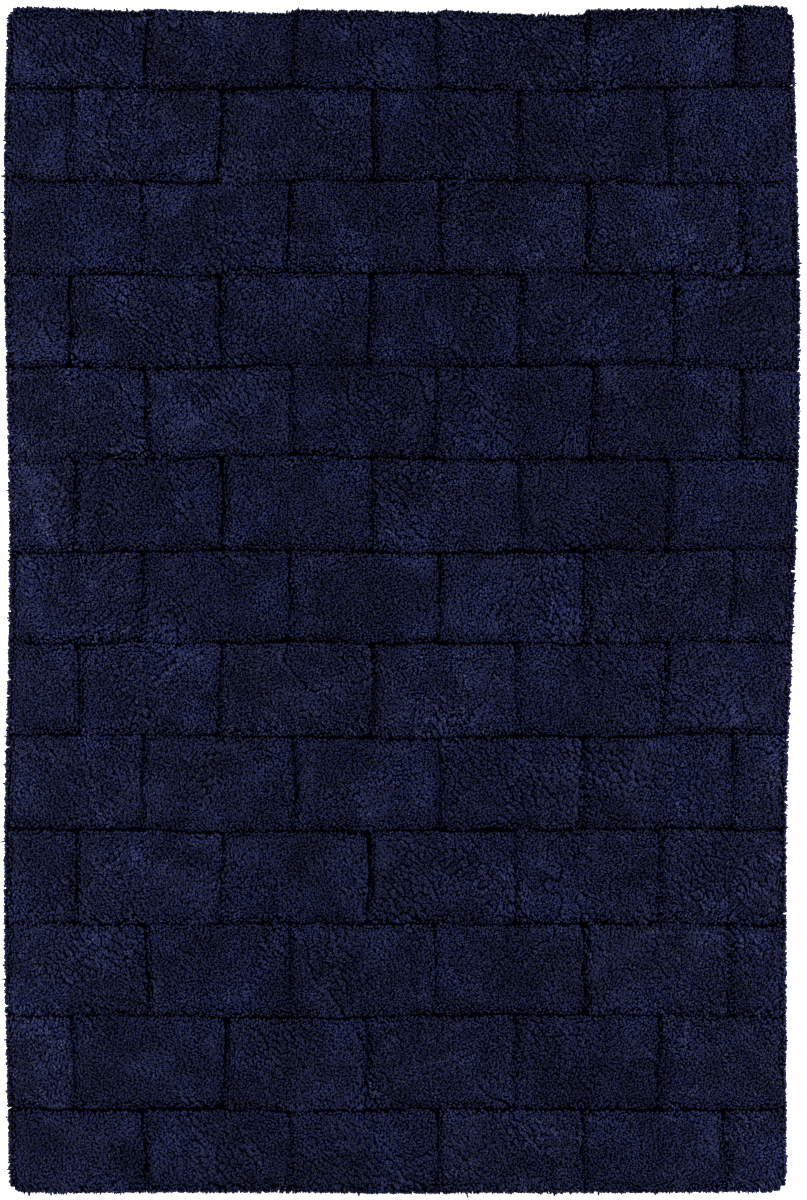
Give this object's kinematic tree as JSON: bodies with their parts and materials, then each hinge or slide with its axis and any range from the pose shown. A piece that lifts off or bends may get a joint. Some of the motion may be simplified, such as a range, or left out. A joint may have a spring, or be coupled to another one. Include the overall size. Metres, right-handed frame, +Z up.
{
  "type": "bath mat",
  "caption": "Rectangular cotton bath mat with a thick cut pile grooved into a brick pattern, a woven base cloth, sewn hems and an anti-slip coat underneath.",
  "frame": {"origin": "on the floor, under the middle of the mat", "axes": "+Z up out of the pile, +Y along the mat's length towards its back edge, +X across it to the right"},
  "size_m": [0.6, 0.9, 0.018],
  "materials": {
    "pile_yarn": "matte",
    "base_cloth": "matte",
    "sewing_thread": "satin",
    "latex_coat": "satin",
    "label_satin": "satin"
  },
  "bodies": {
    "root": {"latex_coat": "latex_coat", "care_label": "label_satin", "hem_left": "base_cloth", "hem_stitch_left": "sewing_thread", "hem_front": "base_cloth", "hem_stitch_front": "sewing_thread", "hem_right": "base_cloth", "hem_stitch_right": "sewing_thread", "hem_back": "base_cloth", "hem_stitch_back": "sewing_thread", "base_cloth": "base_cloth", "pile_course_01": "pile_yarn", "pile_course_02": "pile_yarn", "pile_course_03": "pile_yarn", "pile_course_04": "pile_yarn", "pile_course_05": "pile_yarn", "pile_course_06": "pile_yarn", "pile_course_07": "pile_yarn", "pile_course_08": "pile_yarn", "pile_course_09": "pile_yarn", "pile_course_10": "pile_yarn", "pile_course_11": "pile_yarn", "pile_course_12": "pile_yarn", "pile_course_13": "pile_yarn"}
  },
  "joints": []
}
